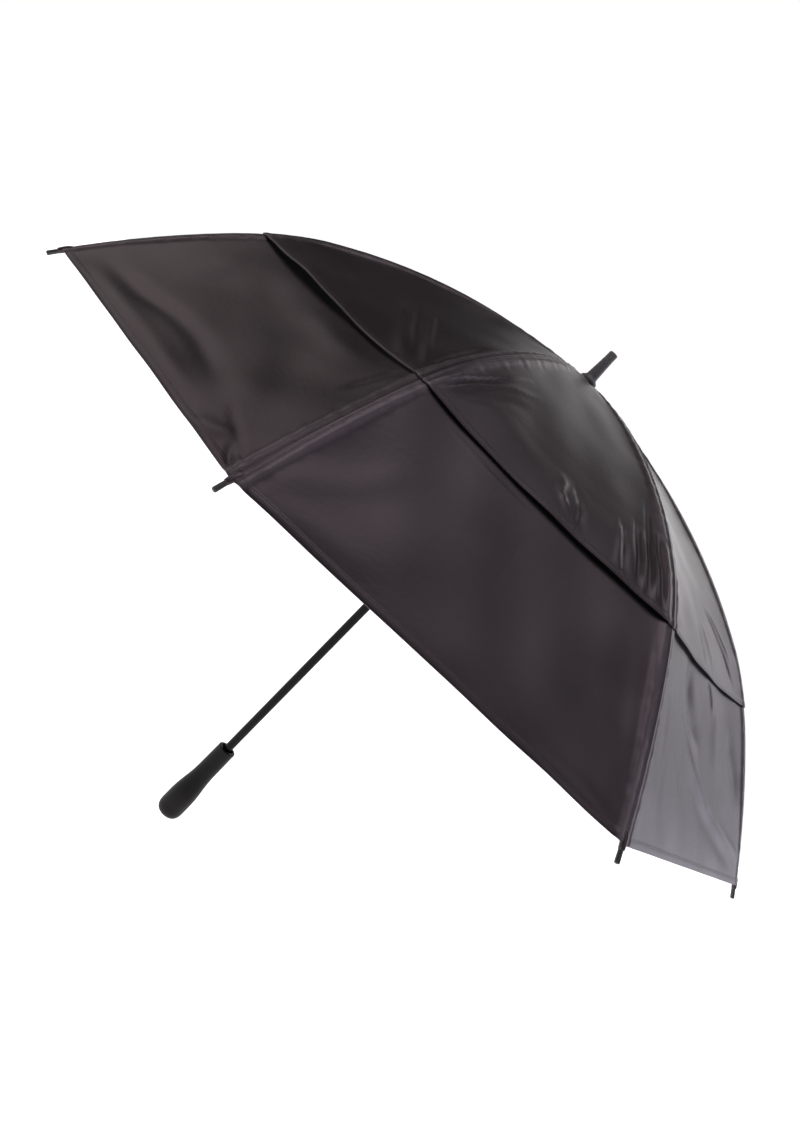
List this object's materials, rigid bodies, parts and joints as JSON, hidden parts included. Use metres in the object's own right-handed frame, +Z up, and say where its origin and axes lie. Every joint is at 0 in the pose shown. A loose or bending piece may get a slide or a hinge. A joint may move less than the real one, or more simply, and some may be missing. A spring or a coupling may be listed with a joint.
{
  "type": "golf umbrella",
  "caption": "Vented double-canopy golf umbrella, open, with curved ribs, stretchers on a sliding runner, a slim shaft, a straight swelled grip and a blunt ferrule.",
  "frame": {"origin": "on the shaft's axis, in the middle of the grip's widest cylindrical land", "axes": "+Z runs up the shaft to the ferrule; +X points along a rib"},
  "size_m": [1.3222, 1.3222, 1.0144],
  "materials": {
    "canopy_cloth": "satin",
    "shaft_finish": "satin",
    "black_fibreglass": "satin",
    "black_plastic": "matte",
    "grip_rubber": "matte",
    "steel": "satin"
  },
  "bodies": {
    "shaft": {"shaft_tube": "shaft_finish", "ferrule": "black_plastic", "canopy_washer": "black_plastic", "crown_notch": "black_plastic", "crown_wire": "steel", "crown_pin": "steel", "runner_stop_pin": "steel", "grip": "grip_rubber"},
    "runner": {"runner": "black_plastic", "runner_wire": "steel"},
    "top_catch": {"top_catch": "steel"},
    "bottom_catch": {"bottom_catch": "steel"},
    "rib_1": {"rib_1_inner": "black_fibreglass", "upper_canopy_1": "canopy_cloth"},
    "rib_1_end": {"rib_1_outer": "black_fibreglass", "rib_1_tip_cap": "black_plastic", "lower_canopy_1": "canopy_cloth"},
    "stretcher_1": {"stretcher_1": "black_fibreglass"},
    "rib_2": {"rib_2_inner": "black_fibreglass", "upper_canopy_2": "canopy_cloth"},
    "rib_2_end": {"rib_2_outer": "black_fibreglass", "rib_2_tip_cap": "black_plastic", "lower_canopy_2": "canopy_cloth"},
    "stretcher_2": {"stretcher_2": "black_fibreglass"},
    "rib_3": {"rib_3_inner": "black_fibreglass", "upper_canopy_3": "canopy_cloth"},
    "rib_3_end": {"rib_3_outer": "black_fibreglass", "rib_3_tip_cap": "black_plastic", "lower_canopy_3": "canopy_cloth"},
    "stretcher_3": {"stretcher_3": "black_fibreglass"},
    "rib_4": {"rib_4_inner": "black_fibreglass", "upper_canopy_4": "canopy_cloth"},
    "rib_4_end": {"rib_4_outer": "black_fibreglass", "rib_4_tip_cap": "black_plastic", "lower_canopy_4": "canopy_cloth"},
    "stretcher_4": {"stretcher_4": "black_fibreglass"},
    "rib_5": {"rib_5_inner": "black_fibreglass", "upper_canopy_5": "canopy_cloth"},
    "rib_5_end": {"rib_5_outer": "black_fibreglass", "rib_5_tip_cap": "black_plastic", "lower_canopy_5": "canopy_cloth"},
    "stretcher_5": {"stretcher_5": "black_fibreglass"},
    "rib_6": {"rib_6_inner": "black_fibreglass", "upper_canopy_6": "canopy_cloth"},
    "rib_6_end": {"rib_6_outer": "black_fibreglass", "rib_6_tip_cap": "black_plastic", "lower_canopy_6": "canopy_cloth"},
    "stretcher_6": {"stretcher_6": "black_fibreglass"},
    "rib_7": {"rib_7_inner": "black_fibreglass", "upper_canopy_7": "canopy_cloth"},
    "rib_7_end": {"rib_7_outer": "black_fibreglass", "rib_7_tip_cap": "black_plastic", "lower_canopy_7": "canopy_cloth"},
    "stretcher_7": {"stretcher_7": "black_fibreglass"},
    "rib_8": {"rib_8_inner": "black_fibreglass", "upper_canopy_8": "canopy_cloth"},
    "rib_8_end": {"rib_8_outer": "black_fibreglass", "rib_8_tip_cap": "black_plastic", "lower_canopy_8": "canopy_cloth"},
    "stretcher_8": {"stretcher_8": "black_fibreglass"}
  },
  "joints": [
    {"name": "runner_slide", "type": "slide", "parent": "shaft", "child": "runner", "axis": [0, 0, 1], "range_m": [-0.51998, 0], "deforming": ["top_catch", "bottom_catch", "upper_canopy_1", "lower_canopy_1", "upper_canopy_2", "lower_canopy_2", "upper_canopy_3", "lower_canopy_3", "upper_canopy_4", "lower_canopy_4", "upper_canopy_5", "lower_canopy_5", "upper_canopy_6", "lower_canopy_6", "upper_canopy_7", "lower_canopy_7", "upper_canopy_8", "lower_canopy_8"]},
    {"name": "top_catch_press", "type": "hinge", "parent": "shaft", "child": "top_catch", "pos_m": [0, 0.0046, 0.64062], "axis": [1, 0, 0], "range_deg": [0, 7], "stiffness_Nm_per_rad": 1},
    {"name": "bottom_catch_press", "type": "hinge", "parent": "shaft", "child": "bottom_catch", "pos_m": [0, 0.0046, 0.17924], "axis": [-1, 0, 0], "range_deg": [0, 7], "stiffness_Nm_per_rad": 1},
    {"name": "rib_1_hinge", "type": "hinge", "parent": "shaft", "child": "rib_1", "pos_m": [0.013, 0, 0.925], "axis": [0, 1, 0], "range_deg": [0, 69.98]},
    {"name": "rib_1_flex", "type": "hinge", "parent": "rib_1", "child": "rib_1_end", "pos_m": [0.36843, 0, 0.82333], "axis": [0, 1, 0], "range_deg": [-21.65, 0]},
    {"name": "stretcher_1_hinge", "type": "hinge", "parent": "rib_1", "child": "stretcher_1", "pos_m": [0.36523, 0, 0.81711], "axis": [0, 1, 0], "range_deg": [-139.96, 0]},
    {"name": "rib_2_hinge", "type": "hinge", "parent": "shaft", "child": "rib_2", "pos_m": [0.00919, 0.00919, 0.925], "axis": [-0.7071, 0.7071, 0], "range_deg": [0, 69.98]},
    {"name": "rib_2_flex", "type": "hinge", "parent": "rib_2", "child": "rib_2_end", "pos_m": [0.26052, 0.26052, 0.82333], "axis": [-0.7071, 0.7071, 0], "range_deg": [-21.65, 0]},
    {"name": "stretcher_2_hinge", "type": "hinge", "parent": "rib_2", "child": "stretcher_2", "pos_m": [0.25826, 0.25826, 0.81711], "axis": [-0.7071, 0.7071, 0], "range_deg": [-139.96, 0]},
    {"name": "rib_3_hinge", "type": "hinge", "parent": "shaft", "child": "rib_3", "pos_m": [0, 0.013, 0.925], "axis": [-1, 0, 0], "range_deg": [0, 69.98]},
    {"name": "rib_3_flex", "type": "hinge", "parent": "rib_3", "child": "rib_3_end", "pos_m": [0, 0.36843, 0.82333], "axis": [-1, 0, 0], "range_deg": [-21.65, 0]},
    {"name": "stretcher_3_hinge", "type": "hinge", "parent": "rib_3", "child": "stretcher_3", "pos_m": [0, 0.36523, 0.81711], "axis": [-1, 0, 0], "range_deg": [-139.96, 0]},
    {"name": "rib_4_hinge", "type": "hinge", "parent": "shaft", "child": "rib_4", "pos_m": [-0.00919, 0.00919, 0.925], "axis": [-0.7071, -0.7071, 0], "range_deg": [0, 69.98]},
    {"name": "rib_4_flex", "type": "hinge", "parent": "rib_4", "child": "rib_4_end", "pos_m": [-0.26052, 0.26052, 0.82333], "axis": [-0.7071, -0.7071, 0], "range_deg": [-21.65, 0]},
    {"name": "stretcher_4_hinge", "type": "hinge", "parent": "rib_4", "child": "stretcher_4", "pos_m": [-0.25826, 0.25826, 0.81711], "axis": [-0.7071, -0.7071, 0], "range_deg": [-139.96, 0]},
    {"name": "rib_5_hinge", "type": "hinge", "parent": "shaft", "child": "rib_5", "pos_m": [-0.013, 0, 0.925], "axis": [0, -1, 0], "range_deg": [0, 69.98]},
    {"name": "rib_5_flex", "type": "hinge", "parent": "rib_5", "child": "rib_5_end", "pos_m": [-0.36843, 0, 0.82333], "axis": [0, -1, 0], "range_deg": [-21.65, 0]},
    {"name": "stretcher_5_hinge", "type": "hinge", "parent": "rib_5", "child": "stretcher_5", "pos_m": [-0.36523, 0, 0.81711], "axis": [0, -1, 0], "range_deg": [-139.96, 0]},
    {"name": "rib_6_hinge", "type": "hinge", "parent": "shaft", "child": "rib_6", "pos_m": [-0.00919, -0.00919, 0.925], "axis": [0.7071, -0.7071, 0], "range_deg": [0, 69.98]},
    {"name": "rib_6_flex", "type": "hinge", "parent": "rib_6", "child": "rib_6_end", "pos_m": [-0.26052, -0.26052, 0.82333], "axis": [0.7071, -0.7071, 0], "range_deg": [-21.65, 0]},
    {"name": "stretcher_6_hinge", "type": "hinge", "parent": "rib_6", "child": "stretcher_6", "pos_m": [-0.25826, -0.25826, 0.81711], "axis": [0.7071, -0.7071, 0], "range_deg": [-139.96, 0]},
    {"name": "rib_7_hinge", "type": "hinge", "parent": "shaft", "child": "rib_7", "pos_m": [0, -0.013, 0.925], "axis": [1, 0, 0], "range_deg": [0, 69.98]},
    {"name": "rib_7_flex", "type": "hinge", "parent": "rib_7", "child": "rib_7_end", "pos_m": [0, -0.36843, 0.82333], "axis": [1, 0, 0], "range_deg": [-21.65, 0]},
    {"name": "stretcher_7_hinge", "type": "hinge", "parent": "rib_7", "child": "stretcher_7", "pos_m": [0, -0.36523, 0.81711], "axis": [1, 0, 0], "range_deg": [-139.96, 0]},
    {"name": "rib_8_hinge", "type": "hinge", "parent": "shaft", "child": "rib_8", "pos_m": [0.00919, -0.00919, 0.925], "axis": [0.7071, 0.7071, 0], "range_deg": [0, 69.98]},
    {"name": "rib_8_flex", "type": "hinge", "parent": "rib_8", "child": "rib_8_end", "pos_m": [0.26052, -0.26052, 0.82333], "axis": [0.7071, 0.7071, 0], "range_deg": [-21.65, 0]},
    {"name": "stretcher_8_hinge", "type": "hinge", "parent": "rib_8", "child": "stretcher_8", "pos_m": [0.25826, -0.25826, 0.81711], "axis": [0.7071, 0.7071, 0], "range_deg": [-139.96, 0]}
  ],
  "couplings": [
    {"joint": "rib_1_hinge", "follows": "runner_slide", "rad_per_m": -2.3486},
    {"joint": "rib_1_flex", "follows": "runner_slide", "rad_per_m": 0.72635},
    {"joint": "stretcher_1_hinge", "follows": "runner_slide", "rad_per_m": 4.6971},
    {"joint": "rib_2_hinge", "follows": "runner_slide", "rad_per_m": -2.3486},
    {"joint": "rib_2_flex", "follows": "runner_slide", "rad_per_m": 0.72635},
    {"joint": "stretcher_2_hinge", "follows": "runner_slide", "rad_per_m": 4.6971},
    {"joint": "rib_3_hinge", "follows": "runner_slide", "rad_per_m": -2.3486},
    {"joint": "rib_3_flex", "follows": "runner_slide", "rad_per_m": 0.72635},
    {"joint": "stretcher_3_hinge", "follows": "runner_slide", "rad_per_m": 4.6971},
    {"joint": "rib_4_hinge", "follows": "runner_slide", "rad_per_m": -2.3486},
    {"joint": "rib_4_flex", "follows": "runner_slide", "rad_per_m": 0.72635},
    {"joint": "stretcher_4_hinge", "follows": "runner_slide", "rad_per_m": 4.6971},
    {"joint": "rib_5_hinge", "follows": "runner_slide", "rad_per_m": -2.3486},
    {"joint": "rib_5_flex", "follows": "runner_slide", "rad_per_m": 0.72635},
    {"joint": "stretcher_5_hinge", "follows": "runner_slide", "rad_per_m": 4.6971},
    {"joint": "rib_6_hinge", "follows": "runner_slide", "rad_per_m": -2.3486},
    {"joint": "rib_6_flex", "follows": "runner_slide", "rad_per_m": 0.72635},
    {"joint": "stretcher_6_hinge", "follows": "runner_slide", "rad_per_m": 4.6971},
    {"joint": "rib_7_hinge", "follows": "runner_slide", "rad_per_m": -2.3486},
    {"joint": "rib_7_flex", "follows": "runner_slide", "rad_per_m": 0.72635},
    {"joint": "stretcher_7_hinge", "follows": "runner_slide", "rad_per_m": 4.6971},
    {"joint": "rib_8_hinge", "follows": "runner_slide", "rad_per_m": -2.3486},
    {"joint": "rib_8_flex", "follows": "runner_slide", "rad_per_m": 0.72635},
    {"joint": "stretcher_8_hinge", "follows": "runner_slide", "rad_per_m": 4.6971}
  ]
}
